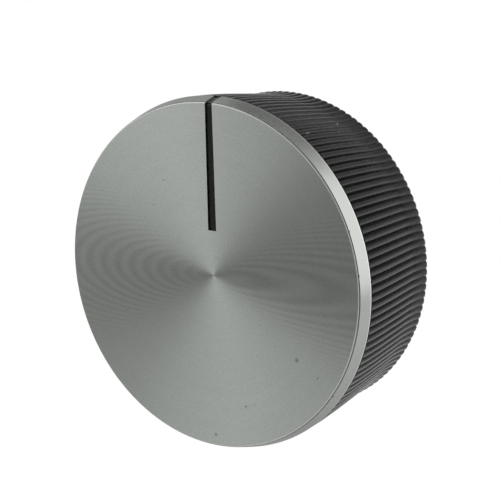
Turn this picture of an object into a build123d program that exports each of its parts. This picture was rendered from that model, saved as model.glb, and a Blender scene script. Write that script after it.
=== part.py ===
from build123d import *
import os
from math import cos, radians, sin

# Stove knob: a spun aluminium cap on a waisted, ribbed black moulding, with a steel spring in its
# D-shaped shaft socket. Millimetres. Each piece is built along its own axis, back rim at z = 0 and
# face upwards, and is then turned so that the face looks towards -Y with the pointer at +Z.

# Overall
knob_depth = 16.7
face_radius = 20.5
rim_radius = 21.0
cutter_overrun = 1.0

# Metal cap
cap_thickness = 1.2
cap_edge_height = 1.95
cap_inner_radius = 19.4
edge_break = 0.1
step_depth = 0.24
step_ledge = 0.1
rim_land = 0.14

# Pointer slot in the cap, narrowing towards the rim, and the rib that stands in it
slot_inner_end = 5.35
slot_width_inside = 1.14
slot_width_at_rim = 0.98
pointer_side_gap = 0.06
pointer_recess = 0.22

# Grip of the moulding from the cap to the back rim, straight in between: (height, crest radius, rib depth)
grip_stations = [
    (14.5, 20.96, 0.44),
    (4.6, 19.38, 0.38),
    (2.2, 18.93, 0.22),
    (0.7, 19.1, 0.17),
    (0.0, 18.8, 0.13),
]

# One rib across the grip: (share of the pitch, share of the rib depth below the crest)
rib_count = 130
rib_shape = [
    (0.0, 1.0),
    (0.22, 0.2),
    (0.5, 0.0),
    (0.78, 0.2),
]

# Neck and spigot that carry the cap
neck_radius = 20.3
seat_clearance = 0.05

# Hollow back
pocket_depth = 12.2
pocket_radius = 16.9
hub_radius = 6.9
web_thickness = 1.2
web_recess = 2.5
web_angles = [45, 135, 225, 315]

# Socket for an 8 mm shaft that is 6.5 mm across its flat
shaft_radius = 4.0
shaft_across_flat = 6.5
socket_clearance = 0.05
socket_depth = 12.5
socket_lead_in = 0.4
spring_slot_width = 5.0
spring_slot_height = 1.2
spring_slot_depth = 11.5

# Spring strip
strip_thickness = 0.4
strip_width = 4.8
spring_bite = 0.25
spring_bend_height = 0.9
spring_end_gap = 0.5
spring_tip_relief = 0.1
spring_tip_shortfall = 0.4

turned_upright = Rot(90, 0, 0)
cap_back = knob_depth - cap_edge_height
spigot_top = knob_depth - cap_thickness
socket_radius = shaft_radius + socket_clearance
socket_flat = shaft_across_flat - shaft_radius + socket_clearance


def turned(outline):
    """Solid of revolution from (radius, height) points, closed along the axis."""
    profile = make_face(Polyline(*outline, close=True))
    return revolve(Plane.XZ * profile, Axis.Z)


def pointer_outline(side_gap, end_gap):
    """Tapered strip from near the centre to beyond the rim, seen along the axis."""
    inner = slot_inner_end + end_gap
    outer = rim_radius + cutter_overrun
    half_inside = slot_width_inside / 2 - side_gap
    half_at_rim = slot_width_at_rim / 2 - side_gap
    corners = [
        (-half_inside, inner),
        (half_inside, inner),
        (half_at_rim, outer),
        (-half_at_rim, outer),
    ]
    return make_face(Polyline(*corners, close=True))


def cap_envelope(inset):
    """Outside of the cap, from its axis to its back edge, taken in all round by inset."""
    face = knob_depth - inset
    step_radius = face_radius + edge_break / 2 - inset
    return [
        (0, cap_back),
        (0, face),
        (step_radius - edge_break, face),
        (step_radius, face - edge_break),
        (step_radius, face - step_depth),
        (step_radius + step_ledge, face - step_depth),
        (rim_radius - inset, cap_back + rim_land),
        (rim_radius - inset, cap_back),
    ]


def face_cap():
    """Turned cap: flat face, stepped edge, steep chamfer and a shallow recess at the back."""
    blank = turned(cap_envelope(0))
    recess = Cylinder(cap_inner_radius, spigot_top - cap_back, align=(Align.CENTER, Align.CENTER, Align.MIN))
    slot = extrude(pointer_outline(0, 0), knob_depth + cutter_overrun)
    return blank - Pos(0, 0, cap_back) * recess - slot


def ribbed_section(height, crest_radius, rib_depth):
    """One cross-section of the grip: rounded ribs that meet in sharp, deep grooves."""
    pitch = 360 / rib_count
    outline = []
    for rib in range(rib_count):
        for share, drop in rib_shape:
            angle = radians((rib + share) * pitch)
            radius = crest_radius - drop * rib_depth
            outline.append((radius * cos(angle), radius * sin(angle)))
    return Pos(0, 0, height) * make_face(Polyline(*outline, close=True))


def grip():
    """Waisted grip: every rib keeps its angle and runs out towards the back rim."""
    sections = [ribbed_section(*station) for station in grip_stations]
    return loft(sections, ruled=True)


def back_pocket():
    """Space between hub and grip wall, bridged by the webs."""
    ring = turned([
        (hub_radius, 0),
        (pocket_radius, 0),
        (pocket_radius, pocket_depth),
        (hub_radius, pocket_depth),
    ])
    web_height = pocket_depth - web_recess
    web = Box(2 * rim_radius, web_thickness, web_height, align=(Align.MIN, Align.CENTER, Align.MIN))
    for angle in web_angles:
        ring -= Rot(0, 0, angle) * Pos(0, 0, web_recess) * web
    return ring


def shaft_socket():
    """Blind D-shaped socket with a lead-in, and the slot beside its flat for the spring."""
    half_turn = 2 * socket_radius
    above_flat = Pos(0, socket_flat + socket_radius) * Rectangle(half_turn, half_turn)
    d_shape = Circle(socket_radius) - above_flat
    socket = extrude(d_shape, socket_depth)
    lead_in = Cone(
        socket_radius + socket_lead_in,
        socket_radius,
        socket_lead_in,
        align=(Align.CENTER, Align.CENTER, Align.MIN),
    )
    slot = Box(
        spring_slot_width,
        spring_slot_height,
        spring_slot_depth,
        align=(Align.CENTER, Align.MIN, Align.MIN),
    )
    return socket + lead_in + Pos(0, socket_flat, 0) * slot


def grip_body():
    """One moulding: ribbed grip, neck and spigot for the cap, pointer rib, hub, webs and socket."""
    ribs_top = grip_stations[0][0]
    neck = turned([
        (0, ribs_top),
        (neck_radius, ribs_top),
        (neck_radius, cap_back),
        (cap_inner_radius - seat_clearance, cap_back),
        (cap_inner_radius - seat_clearance, spigot_top),
        (0, spigot_top),
    ])
    pointer_strip = extrude(pointer_outline(pointer_side_gap, pointer_side_gap), knob_depth)
    pointer = pointer_strip & turned(cap_envelope(pointer_recess))
    body = grip() + neck + pointer
    return body - back_pocket() - shaft_socket()


def shaft_spring():
    """Bent strip: one leg lies on the slot's outer wall, the other bows past the socket's flat."""
    wall_leg = socket_flat + spring_slot_height - strip_thickness / 2
    bend_radius = strip_thickness
    free_leg = wall_leg - 2 * bend_radius
    bow = socket_flat - spring_bite + strip_thickness / 2
    bend = spring_bend_height
    far = spring_slot_depth - spring_end_gap
    tip = (free_leg + spring_tip_relief, far - spring_tip_shortfall)
    path = Line((wall_leg, far), (wall_leg, bend))
    path += ThreePointArc((wall_leg, bend), (wall_leg - bend_radius, bend - bend_radius), (free_leg, bend))
    path += ThreePointArc((free_leg, bend), (bow, far / 2), tip)
    strip = trace(path, strip_thickness)
    return extrude(Plane.YZ * strip, strip_width / 2, both=True)


pieces = {
    "face_cap": face_cap(),
    "grip_body": grip_body(),
    "shaft_spring": shaft_spring(),
}

os.makedirs("parts", exist_ok=True)
for name, piece in pieces.items():
    export_step(turned_upright * piece, f"parts/{name}.step")
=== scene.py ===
from math import asin, cos, pi, radians, sin

import bmesh
import bpy
import numpy as np
from mathutils import Matrix, Vector


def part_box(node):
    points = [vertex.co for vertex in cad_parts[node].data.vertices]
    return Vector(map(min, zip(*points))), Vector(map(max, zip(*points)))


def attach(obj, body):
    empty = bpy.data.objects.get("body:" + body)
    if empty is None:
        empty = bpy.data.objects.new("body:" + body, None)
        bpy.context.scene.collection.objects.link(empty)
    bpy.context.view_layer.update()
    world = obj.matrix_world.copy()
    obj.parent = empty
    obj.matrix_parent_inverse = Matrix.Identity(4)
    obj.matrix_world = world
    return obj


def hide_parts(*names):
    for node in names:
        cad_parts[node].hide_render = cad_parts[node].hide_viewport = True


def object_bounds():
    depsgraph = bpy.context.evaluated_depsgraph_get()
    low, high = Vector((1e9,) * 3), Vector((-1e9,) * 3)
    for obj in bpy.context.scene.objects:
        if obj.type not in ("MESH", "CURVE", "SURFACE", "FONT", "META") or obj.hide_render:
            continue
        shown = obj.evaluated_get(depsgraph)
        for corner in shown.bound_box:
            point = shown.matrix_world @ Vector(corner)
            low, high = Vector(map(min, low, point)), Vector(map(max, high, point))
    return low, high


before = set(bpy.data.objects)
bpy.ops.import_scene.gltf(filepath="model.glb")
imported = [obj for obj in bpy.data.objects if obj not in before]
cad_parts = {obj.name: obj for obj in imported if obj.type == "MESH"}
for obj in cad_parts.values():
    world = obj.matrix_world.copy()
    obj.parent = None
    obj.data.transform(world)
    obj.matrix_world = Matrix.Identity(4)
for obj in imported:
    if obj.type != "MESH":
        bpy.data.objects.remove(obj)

# Stove knob: spun aluminium cap, ribbed black moulding, steel spring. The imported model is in
# metres, with its axis along Y, the face towards -Y and the pointer at +Z. The cap and the
# moulding are made in millimetres along their own Z, back rim at 0 and face upwards, and are
# then stood on edge.

mm = 0.001
cad_low, cad_high = [Vector(corner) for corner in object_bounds()]
cap_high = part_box("face_cap")[1]
middle = (cad_low + cad_high) / 2

scene = bpy.context.scene
stood_on_edge = Matrix.Rotation(radians(90), 4, "X")


# ---------------------------------------------------------------- sizes, in millimetres

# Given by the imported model
rim_radius = cap_high.x / mm
knob_depth = -cad_low.y / mm
cap_back = -cap_high.y / mm

# Cap
face_radius = rim_radius - 0.5
edge_break = 0.1
step_depth = 0.24
step_ledge = 0.1
rim_land = 0.14
cap_thickness = 1.2
cap_inner_radius = 19.4
spigot_top = knob_depth - cap_thickness
edge_round = 0.035

# Pointer slot in the cap, narrowing towards the rim, and the pointer rib that stands in it
slot_inner_end = 5.35
slot_width_inside = 1.14
slot_width_at_rim = 0.98
pointer_side_gap = 0.06
pointer_recess = 0.22
pointer_root = 14.0

# Neck and spigot that carry the cap
neck_radius = 20.3
neck_root = 13.5
seat_clearance = 0.05

# Grip: crest radius and groove depth, each at a height, and the heights of its rings of points
grip_profile = [
    (14.5, 20.96), (12.5, 20.77), (10.0, 20.38), (7.5, 19.94), (4.6, 19.44),
    (2.2, 18.96), (0.7, 19.05), (0.4, 19.03), (0.15, 18.94), (0.0, 18.78),
]
groove_depths = [(14.5, 0.44), (4.6, 0.38), (2.2, 0.22), (0.7, 0.17), (0.0, 0.13)]
grip_heights = [
    0, 0.06, 0.15, 0.28, 0.45, 0.65, 0.9, 1.2, 1.5, 1.8, 2.1, 2.4, 2.7,
    3.0, 3.4, 3.8, 4.3, 4.8, 5.4, 6.0, 7.0, 8.0, 10.0, 12.5, 14.5,
]
bend_reach = 1.6

# Half a rib, from its groove towards its crest: share of half the pitch, share of the depth
rib_count = 130
half_rib = [(1.0, 1.0), (0.95, 0.93), (0.6, 0.3), (0.52, 0.18), (0.4, 0.09), (0.2, 0.02)]

# Hollow back
pocket_depth = 12.2
pocket_radius = 16.9
hub_radius = 6.9
web_thickness = 1.2
web_recess = 2.5
web_reach = 30
web_angles = (45, 135)

# Shaft socket and the slot for its spring
socket_radius = 4.05
socket_flat = 2.55
socket_depth = 12.5
socket_lead_in = 0.4
spring_slot_width = 5.0
spring_slot_height = 1.2
spring_slot_depth = 11.5

# How far a cutting shape runs past what it cuts
overrun = 1.0

# Dark specks on the face: where they sit from its centre, and how large they are
face_specks = [
    ((11.6, -8.8), 0.34),
    ((14.5, -10.6), 0.17),
    ((4.1, -15.3), 0.22),
    ((5.3, -14.9), 0.11),
    ((-0.4, -19.3), 0.26),
    ((6.4, -5.2), 0.11),
    ((-6.8, 10.7), 0.14),
    ((-8.4, 7.6), 0.11),
]

# The same on the step and the chamfer, with their heights
edge_specks = [
    ((20.55, 2.2, 16.5), 0.24),
    ((19.3, 7.3, 16.4), 0.16),
    ((16.4, -12.6, 16.4), 0.18),
]

# Specks of pale dust on the ribs, all of one size
dust_specks = [
    (11.13, 17.28, 12.36),
    (11.16, 17.28, 12.81),
    (2.41, 19.37, 5.1),
    (2.36, 19.24, 4.35),
    (9.63, 16.74, 4.5),
]


# ---------------------------------------------------------------- shader maths

class Signal:
    """A shader socket that can be used in sums with numbers and with other signals."""

    def __init__(self, finish, socket):
        self.finish = finish
        self.socket = socket

    def maths(self, operation, *terms):
        return self.finish.node("ShaderNodeMath", {"operation": operation}, dict(enumerate(terms)))

    def __add__(self, other):
        return self.maths("ADD", self, other)

    def __radd__(self, other):
        return self.maths("ADD", other, self)

    def __sub__(self, other):
        return self.maths("SUBTRACT", self, other)

    def __rsub__(self, other):
        return self.maths("SUBTRACT", other, self)

    def __mul__(self, other):
        return self.maths("MULTIPLY", self, other)

    def __rmul__(self, other):
        return self.maths("MULTIPLY", other, self)

    def __truediv__(self, other):
        return self.maths("DIVIDE", self, other)

    def __rtruediv__(self, other):
        return self.maths("DIVIDE", other, self)

    def sine(self):
        return self.maths("SINE", self)

    def size(self):
        return self.maths("ABSOLUTE", self)

    def most(self, other):
        return self.maths("MAXIMUM", self, other)

    def swing(self, amount):
        """Noise as a change either way, by half the amount at most."""
        return amount * (self - 0.5)


class Finish:
    """A node tree with one way to add a node: its type, its settings, then its sockets."""

    def __init__(self, tree):
        self.tree = tree
        tree.nodes.clear()

    def node(self, kind, settings, sockets, output=0):
        made = self.tree.nodes.new(kind)
        for name, setting in settings.items():
            setattr(made, name, setting)
        for name, value in sockets.items():
            if isinstance(value, Signal):
                self.tree.links.new(value.socket, made.inputs[name])
            else:
                made.inputs[name].default_value = value
        return Signal(self, made.outputs[output]) if made.outputs else None

    def vector(self, operation, first, second=(0, 0, 0), output=0):
        sockets = {0: first, 1: second}
        return self.node("ShaderNodeVectorMath", {"operation": operation}, sockets, output)

    def blend(self, share, first, second):
        """Colour between first, at share 0, and second, at share 1."""
        sockets = {0: share, 6: first, 7: second}
        return self.node("ShaderNodeMix", {"data_type": "RGBA"}, sockets, 2)

    def toned(self, tone, colour):
        """Colour made darker by a tone below 1."""
        return self.blend(tone, (0, 0, 0, 1), (*colour, 1))

    def step(self, value, low, high):
        """0 below low, 1 above high, smooth in between."""
        return self.node(
            "ShaderNodeMapRange",
            {"interpolation_type": "SMOOTHSTEP"},
            {"Value": value, "From Min": low, "From Max": high},
        )

    def noise(self, place, scale, detail, roughness=0.5):
        return self.node(
            "ShaderNodeTexNoise",
            {},
            {"Vector": place, "Scale": scale, "Detail": detail, "Roughness": roughness},
        )

    def lines(self, distance, scale, detail, roughness):
        """Noise along one distance only, as a lathe leaves it."""
        return self.node(
            "ShaderNodeTexNoise",
            {"noise_dimensions": "1D"},
            {"W": distance, "Scale": scale, "Detail": detail, "Roughness": roughness},
        )

    def bump(self, height, strength, depth):
        """Normal of a surface that height raises by up to depth, in metres."""
        sockets = {"Strength": strength, "Distance": depth, "Height": height}
        return self.node("ShaderNodeBump", {}, sockets)

    def place(self):
        """Place on a piece in the piece's own frame, in metres."""
        return self.node("ShaderNodeTexCoord", {}, {}, "Object")

    def point(self):
        """The same in millimetres."""
        sockets = {0: self.place(), "Scale": 1 / mm}
        return self.node("ShaderNodeVectorMath", {"operation": "SCALE"}, sockets)

    def part(self, point, axis):
        """One coordinate of a point: axis 0, 1 or 2."""
        return self.node("ShaderNodeSeparateXYZ", {}, {0: point}, axis)

    def from_axis(self, point):
        return self.vector("LENGTH", self.vector("MULTIPLY", point, (1, 1, 0)), output=1)

    def distance(self, point, place):
        return self.vector("DISTANCE", point, place, 1)

    def specked(self, tone, point, place, size):
        """Tone with one soft dark speck in it."""
        outside = self.step(self.distance(point, place), 0.4 * size, size)
        return tone * (0.55 + 0.45 * outside)

    def show(self, surface, kind="ShaderNodeOutputMaterial"):
        self.node(kind, {}, {"Surface": surface})

    def principled(self, sockets):
        self.show(self.node("ShaderNodeBsdfPrincipled", {}, sockets))


def finish_of(name):
    """New material, and the finish that it is given."""
    material = bpy.data.materials.new(name)
    material.use_nodes = True
    return material, Finish(material.node_tree)


# ---------------------------------------------------------------- finishes

# How much light the aluminium gives back at a glancing angle
glancing_tint = (0.55, 0.55, 0.55, 1)


def spun_face():
    """Flat face: satin aluminium turned in fine rings, with a faint painted moiré (light and dark
    arcs standing in for the ring reflections, laid in the dark fans either side of the centre) and a
    few dark specks."""
    material, finish = finish_of("spun_face")
    point = finish.point()
    radius = finish.from_axis(point)
    across = finish.part(point, 0)
    upwards = finish.part(point, 1)
    rings = finish.lines(radius, 5.2, 1.0, 0.6)
    bands = finish.lines(radius, 0.9, 2.0, 0.5)
    cloud = finish.noise(point, 0.16, 3.0)
    grain = finish.noise(point, 6.0, 1.0)

    # The painted moiré is the beat of the rings with the straight lines, both per millimetre: light
    # and dark arcs painted in for the ring reflections, in the dark fans only
    ring_lines, straight_lines, lean = 4.3, 4.01, 0.19
    beat = ring_lines * radius - straight_lines * across.size() - lean * across
    # Mask of the dark fans near the level line through the centre, where the painted moiré of the
    # reflections goes
    in_dark_fans = 1 - finish.step(upwards.size() / across.size(), 0.25, 0.75)
    off_centre = finish.step(radius, 0.5, 4.0)
    painted_moire = (2 * pi * beat).sine() * in_dark_fans * off_centre

    tone = 0.89 + rings.swing(0.07) + bands.swing(0.03) + cloud.swing(0.05)
    # Painted reflection: moiré arcs of the rings, on top of the random tone
    tone = tone + grain.swing(0.33) + 0.06 * painted_moire * (0.2 + 1.6 * cloud)
    for place, size in face_specks:
        tone = finish.specked(tone, point, (*place, knob_depth), size)
    finish.principled({
        "Base Color": finish.toned(tone, (0.4, 0.424, 0.402)),
        "Metallic": 1.0,
        "Roughness": 0.36 + rings.swing(0.06) + cloud.swing(0.03),
        "Anisotropic": 0.92,
        "Anisotropic Rotation": 0.25,
        "Specular Tint": glancing_tint,
        "Normal": finish.bump(rings, 0.35, 0.01 * mm),
    })
    return material


def turned_edge(name, base, roughness):
    """Chamfer and edges of the cap: the same metal, cut smoother; base is how bright it is, and the
    lighter bases given to the face's broken edge and to the rim paint highlight lines on them.
    """
    material, finish = finish_of(name)
    point = finish.point()
    lines = finish.lines(finish.part(point, 2), 9.0, 1.0, 0.6)
    grain = finish.noise(point, 3.5, 3.0)
    tone = 0.96 + lines.swing(0.05) + grain.swing(0.06)
    for place, size in edge_specks:
        tone = finish.specked(tone, point, place, size)
    finish.principled({
        "Base Color": finish.toned(tone, (base, base * 1.03, base * 0.985)),
        "Metallic": 1.0,
        "Roughness": roughness + grain.swing(0.08),
        "Specular Tint": glancing_tint,
    })
    return material


def black_moulding():
    """Matte black plastic with a fine moulded grain and a little dust."""
    material, finish = finish_of("black_moulding")
    point = finish.point()
    grain = finish.noise(point, 9.0, 4.0, 0.6)
    cloud = finish.noise(point, 0.5, 2.0)
    tone = 0.85 + grain.swing(0.25) + cloud.swing(0.2)
    colour = finish.toned(tone, (0.0096, 0.0105, 0.0098))
    dust_colour = (0.26, 0.26, 0.25, 1)
    for place in dust_specks:
        outside = finish.step(finish.distance(point, place), 0.08, 0.17)
        colour = finish.blend(outside, dust_colour, colour)
    finish.principled({
        "Base Color": colour,
        "Roughness": 0.27 + grain.swing(0.1) + cloud.swing(0.05),
        "Specular IOR Level": 0.275,
        "Specular Tint": (0.91, 1.0, 0.925, 1),
        "Normal": finish.bump(grain, 0.09, 0.02 * mm),
    })
    return material


def spring_steel():
    """Bright rolled strip with drawn lines along it."""
    material, finish = finish_of("spring_steel")
    drawn = finish.vector("MULTIPLY", finish.place(), (9000, 300, 900))
    lines = finish.noise(drawn, 1.0, 2.0)
    tone = 0.9 + lines.swing(0.3)
    finish.principled({
        "Base Color": finish.toned(tone, (0.5, 0.5, 0.49)),
        "Metallic": 1.0,
        "Roughness": 0.28 + lines.swing(0.12),
    })
    return material


# ---------------------------------------------------------------- shapes

def linked(name, data):
    """New object in the scene."""
    made = bpy.data.objects.new(name, data)
    scene.collection.objects.link(made)
    return made


def mesh_of(name, points, faces):
    """New piece in its own frame, from points in millimetres."""
    mesh = bpy.data.meshes.new(name)
    mesh.from_pydata([tuple(mm * c for c in point) for point in points], [], faces)
    mesh.validate()
    return linked(name, mesh)


def turned(name, outline, parts=360):
    """Solid of revolution from (radius, height) points; the first and last are on the axis."""
    points = [(0, 0, outline[0][1]), (0, 0, outline[-1][1])]
    rings = []
    for radius, height in outline[1:-1]:
        rings.append(len(points))
        for k in range(parts):
            angle = 2 * pi * k / parts
            points.append((radius * cos(angle), radius * sin(angle), height))
    faces = []
    for k in range(parts):
        after = (k + 1) % parts
        faces.append((0, rings[0] + k, rings[0] + after))
        for here, there in zip(rings, rings[1:]):
            faces.append((here + k, there + k, there + after, here + after))
        faces.append((rings[-1] + k, 1, rings[-1] + after))
    return mesh_of(name, points, faces)


def prism(name, outline, low, high):
    """Straight prism over a flat outline of (x, y) points."""
    count = len(outline)
    points = [(x, y, low) for x, y in outline] + [(x, y, high) for x, y in outline]
    faces = [tuple(reversed(range(count))), tuple(range(count, 2 * count))]
    for k in range(count):
        after = (k + 1) % count
        faces.append((k, after, count + after, count + k))
    return mesh_of(name, points, faces)


def outwards(piece):
    """Turns every face of a closed mesh outwards."""
    shape = bmesh.new()
    shape.from_mesh(piece.data)
    bmesh.ops.recalc_face_normals(shape, faces=shape.faces)
    shape.to_mesh(piece.data)
    shape.free()


def settled(piece):
    """Applies the piece's modifiers to its mesh."""
    bpy.context.view_layer.update()
    graph = bpy.context.evaluated_depsgraph_get()
    mesh = bpy.data.meshes.new_from_object(piece.evaluated_get(graph))
    piece.modifiers.clear()
    piece.data = mesh


def joined(piece, other, operation):
    """Boolean of two closed pieces; the other is used up."""
    outwards(piece)
    outwards(other)
    change = piece.modifiers.new(operation, "BOOLEAN")
    change.operation = operation
    change.solver = "EXACT"
    change.object = other
    settled(piece)
    bpy.data.objects.remove(other)


def softened(piece, width):
    """Small round on every sharp edge."""
    change = piece.modifiers.new("soft_edges", "BEVEL")
    change.width = width * mm
    change.segments = 2
    change.limit_method = "ANGLE"
    change.angle_limit = radians(35)
    change.use_clamp_overlap = True
    settled(piece)


def smooth(piece, sharp_from):
    """Smooth shading in which the broad faces stay flat up to their rounded edges."""
    piece.data.shade_smooth()
    piece.data.set_sharp_from_angle(angle=radians(sharp_from))
    change = piece.modifiers.new("flat_faces", "WEIGHTED_NORMAL")
    change.weight = 100
    change.keep_sharp = True
    settled(piece)


def stand(piece, slot, *nodes):
    """Stands a turned piece on edge, lets it ride and puts it in place of its CAD nodes."""
    piece.matrix_world = stood_on_edge
    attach(piece, "root")
    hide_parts(*nodes)


# ---------------------------------------------------------------- cap

def pointer_strip(name, side_gap, low, high):
    """Tapered strip from near the centre to beyond the rim."""
    inner = slot_inner_end + side_gap
    outer = rim_radius + overrun
    half_inside = slot_width_inside / 2 - side_gap
    half_at_rim = slot_width_at_rim / 2 - side_gap
    corners = [
        (-half_inside, inner),
        (half_inside, inner),
        (half_at_rim, outer),
        (-half_at_rim, outer),
    ]
    return prism(name, corners, low, high)


def cap_outline(inset, back):
    """Outside of the cap, from the face to a height at its back, taken in all round by inset."""
    face = knob_depth - inset
    step_radius = face_radius + edge_break / 2 - inset
    return [
        (0, face),
        (step_radius - edge_break, face),
        (step_radius, face - edge_break),
        (step_radius, face - step_depth),
        (step_radius + step_ledge, face - step_depth),
        (rim_radius - inset, cap_back + rim_land),
        (rim_radius - inset, back),
        (0, back),
    ]


def cap_finishes():
    """Finishes of the cap, in the order of the numbers that cap_finish gives."""
    return [
        spun_face(),
        turned_edge("turned_chamfer", 0.33, 0.28),
        # Lighter copy of the chamfer metal: a painted highlight line along the face's broken edge
        turned_edge("face_edge_highlight", 0.42, 0.36),
        # Lighter still: a painted highlight line along the rim
        turned_edge("rim_edge_highlight", 0.62, 0.4),
    ]


def cap_finish(polygon):
    """Finish of one polygon of the cap: the flat face, its broken edge or the rim (both with a
    painted highlight), or the rest.
    """
    face, chamfer, face_edge_highlight, rim_edge_highlight = range(4)
    place = polygon.center / mm
    from_axis = place.xy.length
    upwards = polygon.normal.z
    if upwards > 0.999 and place.z > knob_depth - 0.02:
        return face
    # Broken edge of the face, which gets the painted highlight
    if 0.2 < upwards < 0.97 and face_radius - 0.1 < from_axis < face_radius + 0.03:
        return face_edge_highlight
    # Rim, which gets the brighter painted highlight
    if from_axis > rim_radius - 0.025 and place.z > cap_back + 0.06:
        return rim_edge_highlight
    return chamfer


def face_cap():
    """Turned cap: flat face, stepped edge, steep chamfer, slot, and a shallow recess at the back."""
    cap = turned("spun_cap", cap_outline(0, cap_back))
    recess = turned("recess", [
        (0, spigot_top),
        (cap_inner_radius, spigot_top),
        (cap_inner_radius, cap_back - overrun),
        (0, cap_back - overrun),
    ])
    joined(cap, recess, "DIFFERENCE")
    joined(cap, pointer_strip("slot", 0, 0, knob_depth + overrun), "DIFFERENCE")
    softened(cap, edge_round)
    for material in cap_finishes():
        cap.data.materials.append(material)
    for polygon in cap.data.polygons:
        polygon.material_index = cap_finish(polygon)
    smooth(cap, 15)
    return cap


# ---------------------------------------------------------------- moulding

def along_grip(height, profile):
    """Value of a profile at a height of the grip: straights with soft bends between them. The bends
    end before the grip does, so that its two ends keep their size."""
    heights, values = zip(*reversed(profile))
    reach = min(bend_reach, 0.9 * height, grip_heights[-1] - height)
    nearby = height + np.linspace(-reach, reach, 15)
    return float(np.mean(np.interp(nearby, heights, values)))


def ribbed_grip():
    """Grip with rounded ribs and sharp grooves, a closed solid from the cap to the back rim."""
    whole_rib = [(-off, drop) for off, drop in half_rib] + [(0.0, 0.0)] + half_rib[:0:-1]
    ring = []
    for rib in range(rib_count):
        for off, drop in whole_rib:
            ring.append((2 * pi / rib_count * (rib + off / 2), drop))
    count = len(ring)
    points = []
    for height in grip_heights:
        crest = along_grip(height, grip_profile)
        depth = along_grip(height, groove_depths)
        for turn, drop in ring:
            radius = crest - depth * drop
            points.append((radius * cos(turn), radius * sin(turn), height))
    faces = [tuple(reversed(range(count)))]
    for level in range(len(grip_heights) - 1):
        base = level * count
        for k in range(count):
            after = (k + 1) % count
            faces.append((base + k, base + after, base + count + after, base + count + k))
    top = (len(grip_heights) - 1) * count
    faces.append(tuple(range(top, top + count)))
    return mesh_of("ribbed_grip", points, faces)


def back_pocket():
    """Space between hub and wall, bridged by four webs."""
    ring = turned("pocket", [
        (0, pocket_depth),
        (pocket_radius, pocket_depth),
        (pocket_radius, -overrun),
        (0, -overrun),
    ])
    hub = turned("hub", [
        (0, pocket_depth + overrun),
        (hub_radius, pocket_depth + overrun),
        (hub_radius, -2 * overrun),
        (0, -2 * overrun),
    ], 180)
    joined(ring, hub, "DIFFERENCE")
    for turn in web_angles:
        along = Vector((cos(radians(turn)), sin(radians(turn))))
        aside = Vector((-along.y, along.x)) * web_thickness / 2
        end = along * web_reach
        corners = [-end - aside, end - aside, end + aside, -end + aside]
        web = prism("web", [tuple(c) for c in corners], web_recess, pocket_depth + 2 * overrun)
        joined(ring, web, "DIFFERENCE")
    return ring


def shaft_socket():
    """Blind D-shaped socket with a lead-in, and the slot beside its flat for the spring."""
    start = asin(socket_flat / socket_radius)
    sweep = pi + 2 * start
    steps = 96
    angles = [start - sweep * k / steps for k in range(steps + 1)]
    outline = [(socket_radius * cos(angle), socket_radius * sin(angle)) for angle in angles]
    socket = prism("socket", outline, -overrun, socket_depth)

    below_mouth = 0.2
    cone = turned("lead_in", [
        (0, socket_lead_in),
        (socket_radius, socket_lead_in),
        (socket_radius + socket_lead_in + below_mouth, -below_mouth),
        (0, -below_mouth),
    ], 120)
    joined(socket, cone, "UNION")

    # The slot overlaps the socket and starts a little above it, so that no faces coincide
    overlap, slot_start = 0.3, -0.8
    half = spring_slot_width / 2
    low, high = socket_flat - overlap, socket_flat + spring_slot_height
    corners = [(-half, low), (half, low), (half, high), (-half, high)]
    joined(socket, prism("spring_slot", corners, slot_start, spring_slot_depth), "UNION")
    return socket


def grip_body():
    """One moulding: ribbed grip, neck and spigot for the cap, pointer rib, hub, webs and socket."""
    body = ribbed_grip()
    neck = turned("neck", [
        (0, spigot_top),
        (cap_inner_radius - seat_clearance, spigot_top),
        (cap_inner_radius - seat_clearance, cap_back),
        (neck_radius, cap_back),
        (neck_radius, neck_root),
        (0, neck_root),
    ])
    joined(body, neck, "UNION")
    pointer = pointer_strip("pointer", pointer_side_gap, pointer_root, knob_depth + overrun)
    pointer_top = turned("pointer_top", cap_outline(pointer_recess, pointer_root - overrun))
    joined(pointer, pointer_top, "INTERSECT")
    joined(body, pointer, "UNION")
    joined(body, back_pocket(), "DIFFERENCE")
    joined(body, shaft_socket(), "DIFFERENCE")
    body.name = "ribbed_moulding"
    body.data.materials.clear()
    body.data.materials.append(black_moulding())
    smooth(body, 32)
    return body


stand(face_cap(), "spun_aluminium", "face_cap")
stand(grip_body(), "black_moulding", "grip_body")

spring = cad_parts["shaft_spring"]
spring.data.materials.clear()
spring.data.materials.append(spring_steel())


# ---------------------------------------------------------------- studio

# Distances and sizes are in metres here, and angles in degrees
floor_size = 3.0
floor_drop = 0.4
floor_grey = 0.8
floor_glow = 0.55
world_grey = 0.6
curtain_distance = 1.2
curtain_panels = 39
watts_per_area = 4
white = (1, 1, 1, 1)


def direction(azimuth, elevation):
    """Unit vector: azimuth from -Y towards +X, elevation from the horizontal."""
    a, e = radians(azimuth), radians(elevation)
    return Vector((sin(a) * cos(e), -cos(a) * cos(e), sin(e)))


def looked_at(finish):
    """1 for a ray from the camera, from a gloss or through glass, which meet pure white."""
    kinds = ("Is Camera Ray", "Is Glossy Ray", "Is Transmission Ray")
    camera, gloss, glass = [finish.node("ShaderNodeLightPath", {}, {}, kind) for kind in kinds]
    return camera.most(gloss).most(glass)


def sheet_of(name, points, faces, material):
    """Flat or curved sheet of the studio, in metres."""
    mesh = bpy.data.meshes.new(name)
    mesh.from_pydata(points, [], faces)
    mesh.materials.append(material)
    return linked(name, mesh)


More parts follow.
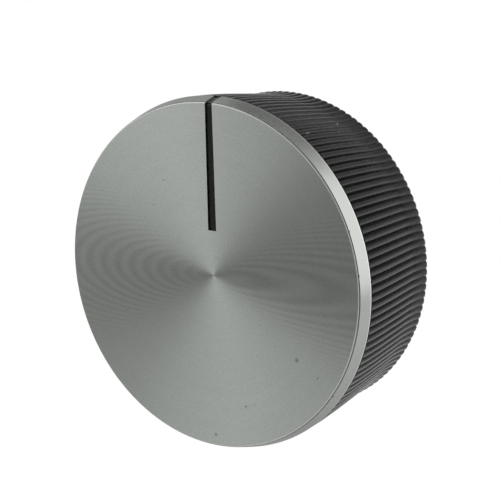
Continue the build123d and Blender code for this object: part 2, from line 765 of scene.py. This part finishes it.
def studio_floor():
    """Pale floor below the knob: it keeps a shadow, and glows enough to look white beside it."""
    material, finish = finish_of("pale_floor")
    lit = finish.node("ShaderNodeBsdfDiffuse", {}, {"Color": (floor_grey,) * 3 + (1,)})
    glow = finish.node("ShaderNodeEmission", {}, {"Color": white, "Strength": floor_glow})
    both = finish.node("ShaderNodeAddShader", {}, {0: lit, 1: glow})
    sockets = {0: looked_at(finish), 1: lit, 2: both}
    finish.show(finish.node("ShaderNodeMixShader", {}, sockets))
    half = floor_size / 2
    z = cad_low.z - floor_drop
    corners = [(-half, -half, z), (half, -half, z), (half, half, z), (-half, half, z)]
    floor = sheet_of("floor", corners, [(0, 1, 2, 3)], material)


def studio_world():
    """Even grey light from all round, and a white background."""
    world = bpy.data.worlds.new("studio")
    scene.world = world
    world.use_nodes = True
    finish = Finish(world.node_tree)
    colour = finish.blend(looked_at(finish), (world_grey,) * 3 + (1,), white)
    surface = finish.node("ShaderNodeBackground", {}, {"Color": colour, "Strength": 1.0})
    finish.show(surface, "ShaderNodeOutputWorld")


def curtain(name, line, colour):
    """Curved grey screen round the knob, there only to be seen in its gloss. Its line gives the
    azimuth, the elevation of the middle and the height, from end to end."""
    material, finish = finish_of(name)
    finish.show(finish.node("ShaderNodeBsdfDiffuse", {}, {"Color": (*colour, 1)}))
    stations, middles, heights = zip(*line)
    points = []
    for azimuth in np.linspace(stations[0], stations[-1], curtain_panels + 1):
        elevation = np.interp(azimuth, stations, middles)
        height = np.interp(azimuth, stations, heights)
        for end in (elevation - height / 2, elevation + height / 2):
            points.append(middle + curtain_distance * direction(azimuth, end))
    faces = [(2 * k, 2 * k + 2, 2 * k + 3, 2 * k + 1) for k in range(curtain_panels)]
    screen = sheet_of(name, points, faces, material)
    screen.visible_camera = False


def lamp(name, azimuth, elevation, distance, width, height, brightness):
    """Soft light that faces the knob; its brightness is that of its surface."""
    light = bpy.data.lights.new(name, "AREA")
    light.shape = "RECTANGLE"
    light.size = width
    light.size_y = height
    light.energy = brightness * watts_per_area * width * height
    holder = linked(name, light)
    away = direction(azimuth, elevation)
    holder.location = middle + distance * away
    holder.rotation_euler = away.to_track_quat("Z", "Y").to_euler()


studio_floor()
studio_world()

# The front curtain narrows to a waist, which gives the two dark fans on the face
front_line = [
    (-130, -24, 44),
    (-91, -26, 42),
    (-66, -22, 34),
    (-50, -18, 20),
    (-36, -12.5, 13),
    (-24, -9, 22),
    (-14, -6, 44),
    (15, 0, 64),
    (55, 8, 68),
]
back_line = [(152, 34, 56), (185, 36, 56), (219, 42, 56)]
curtain("front_curtain", front_line, (0.46, 0.455, 0.435))
curtain("back_curtain", back_line, (0.66, 0.66, 0.66))

lamp("side_light", 117, 18, 1.0, 0.65, 1.16, 0.93)
lamp("top_light", -40, 30, 1.0, 0.8, 0.6, 0.15)
lamp("near_light", -68, 22, 0.085, 0.1, 0.2, 0.46)
lamp("low_light", -62, -55, 0.1, 0.1, 0.12, 0.26)


# ---------------------------------------------------------------- camera

camera_azimuth = 36.19
camera_elevation = 12.973
camera_roll = -1.741
camera_distance = 0.5838
aim = middle + Vector((3.128, -5.282, 2.772)) * mm

lens = bpy.data.cameras.new("camera")
lens.sensor_width = 36
lens.lens = 360
lens.clip_start = 0.01
camera = linked("camera", lens)
back = direction(camera_azimuth, camera_elevation)
roll = Matrix.Rotation(radians(camera_roll), 3, "Z")
turn = back.to_track_quat("Z", "Y").to_matrix() @ roll
camera.matrix_world = Matrix.Translation(aim + camera_distance * back) @ turn.to_4x4()
scene.camera = camera

scene.view_settings.view_transform = "Standard"

bpy.context.view_layer.update()
